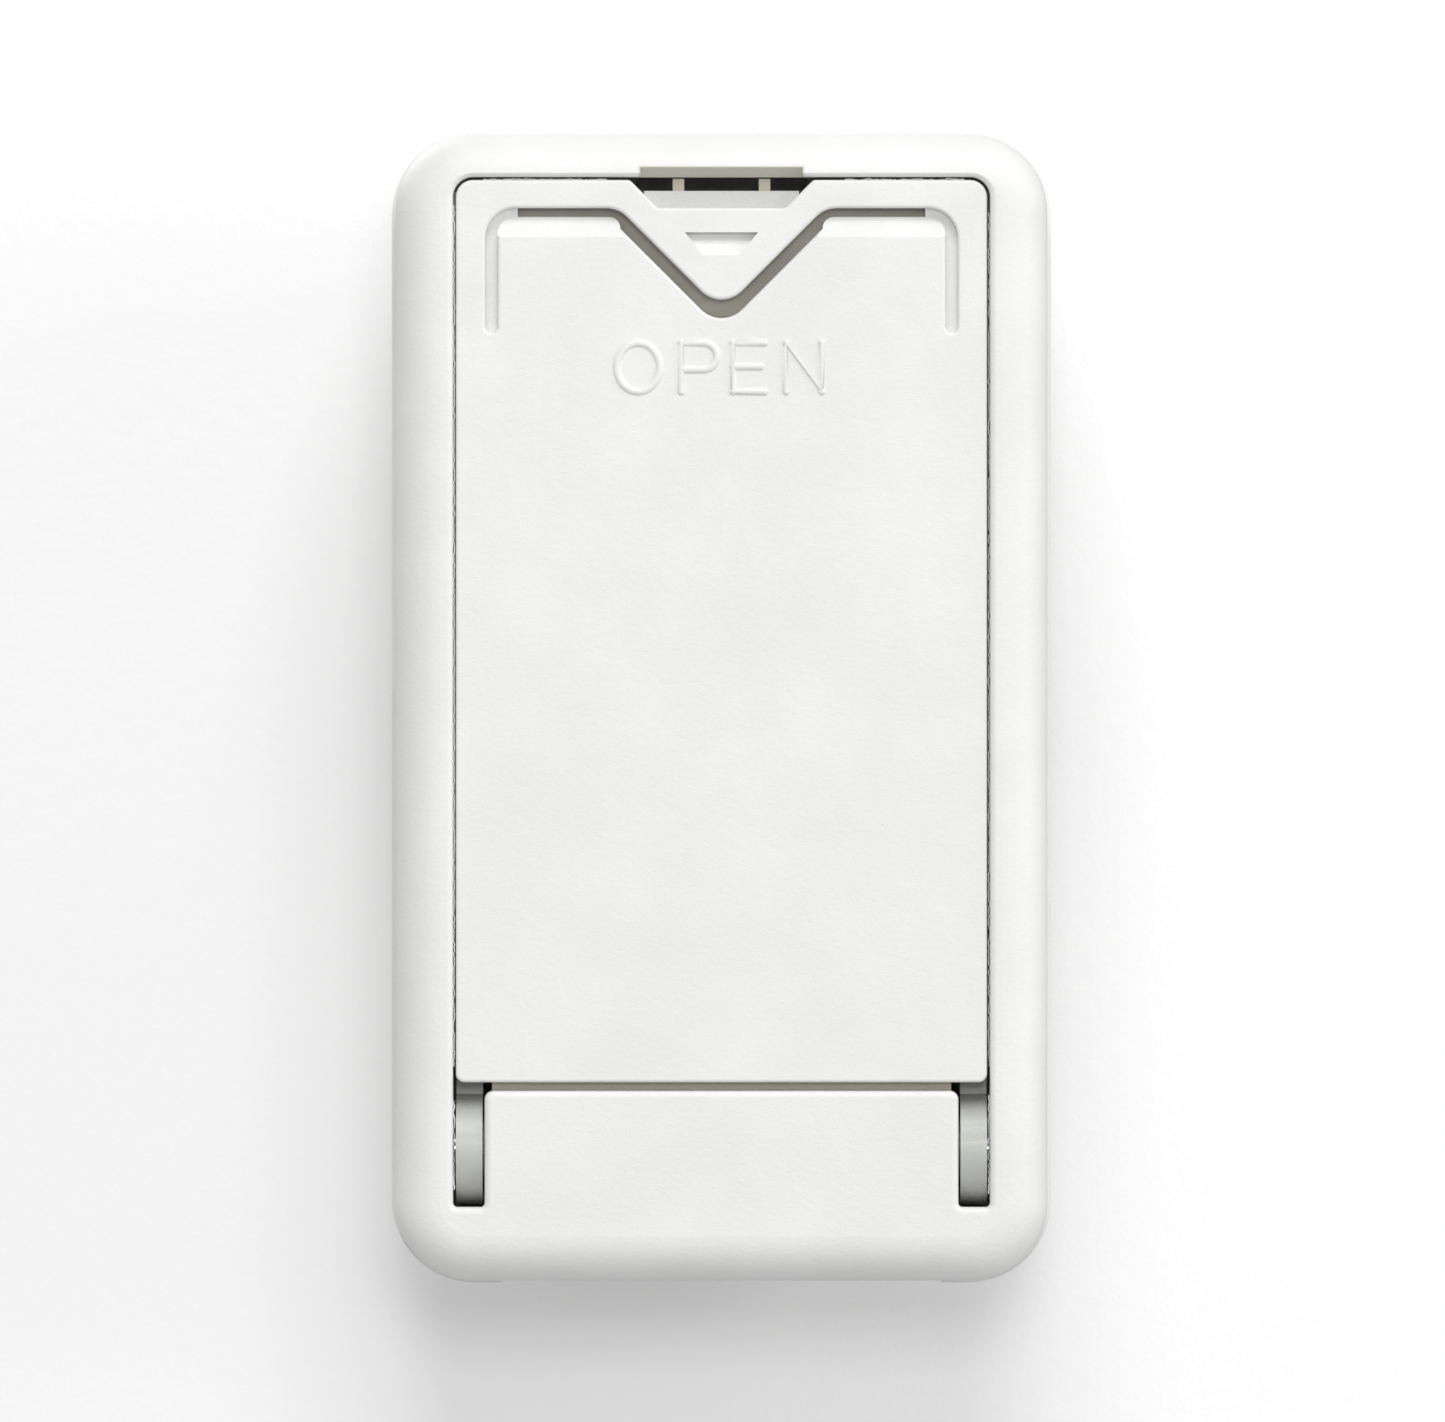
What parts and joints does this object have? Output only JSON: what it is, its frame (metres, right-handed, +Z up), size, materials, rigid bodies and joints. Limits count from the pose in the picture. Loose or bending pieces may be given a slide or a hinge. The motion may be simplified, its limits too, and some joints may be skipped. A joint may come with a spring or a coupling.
{
  "type": "stair gate latch",
  "caption": "Wall-mounted white plastic gate latch: a hinged flap with a sprung V tab lifts a steel bolt out of a striker slot through a rack and pinion.",
  "frame": {"origin": "centre of the mounting plate's back face, on the wall", "axes": "+X to the right seen from the front, +Z up, -Y out of the wall towards the user"},
  "size_m": [0.0464, 0.028, 0.0808],
  "materials": {
    "shell_plastic": "fine spark-eroded grain, white moulding",
    "flap_plastic": "fine spark-eroded grain, white moulding",
    "backing_plastic": "satin warm grey moulding",
    "natural_acetal": "smooth milky white",
    "housing_plastic": "satin white moulding",
    "zinc_steel": "zinc plated, satin",
    "ground_steel": "ground and polished steel",
    "spring_steel": "drawn spring wire",
    "screw_steel": "bright zinc plated",
    "bush_brass": "turned brass",
    "buffer_rubber": "matt black rubber"
  },
  "bodies": {
    "root": {"front_cover": "shell_plastic", "cover_screws": "screw_steel", "rear_housing": "housing_plastic", "flap_buffers": "buffer_rubber", "mounting_plate": "zinc_steel", "plate_screws": "screw_steel", "strike_channel": "zinc_steel", "bolt_bush": "bush_brass", "bolt_socket": "bush_brass", "hinge_pin": "ground_steel", "hinge_washers": "natural_acetal", "keeper_left": "zinc_steel", "keeper_right": "zinc_steel", "keeper_screws": "screw_steel", "return_spring_left": "spring_steel", "return_spring_right": "spring_steel"},
    "carriage": {"slide_carriage": "natural_acetal", "bolt": "ground_steel", "bolt_cross_pin": "ground_steel"},
    "flap": {"flap_panel": "flap_plastic", "hinge_axle": "natural_acetal", "flap_screws": "screw_steel", "strip_left": "flap_plastic", "strip_right": "flap_plastic", "tab_backing": "backing_plastic"},
    "tab": {"push_tab": "flap_plastic"}
  },
  "joints": [
    {"name": "flap_hinge", "type": "hinge", "parent": "root", "child": "flap", "pos_m": [0, -0.0238, -0.0308], "axis": [1, 0, 0], "range_deg": [0, 90], "stiffness_Nm_per_rad": 0.0041, "springref_deg": -178.76},
    {"name": "bolt_slide", "type": "slide", "parent": "root", "child": "carriage", "axis": [0, 0, 1], "range_m": [0, 0.00503], "deforming": ["return_spring_left", "return_spring_right"]},
    {"name": "tab_push", "type": "slide", "parent": "flap", "child": "tab", "axis": [0, 0, -1], "range_m": [0, 0.0005], "stiffness_N_per_m": 800, "springref_m": -0.0004, "deforming": ["strip_left", "strip_right"]}
  ],
  "couplings": [
    {"joint": "bolt_slide", "follows": "flap_hinge", "m_per_rad": 0.0032}
  ]
}
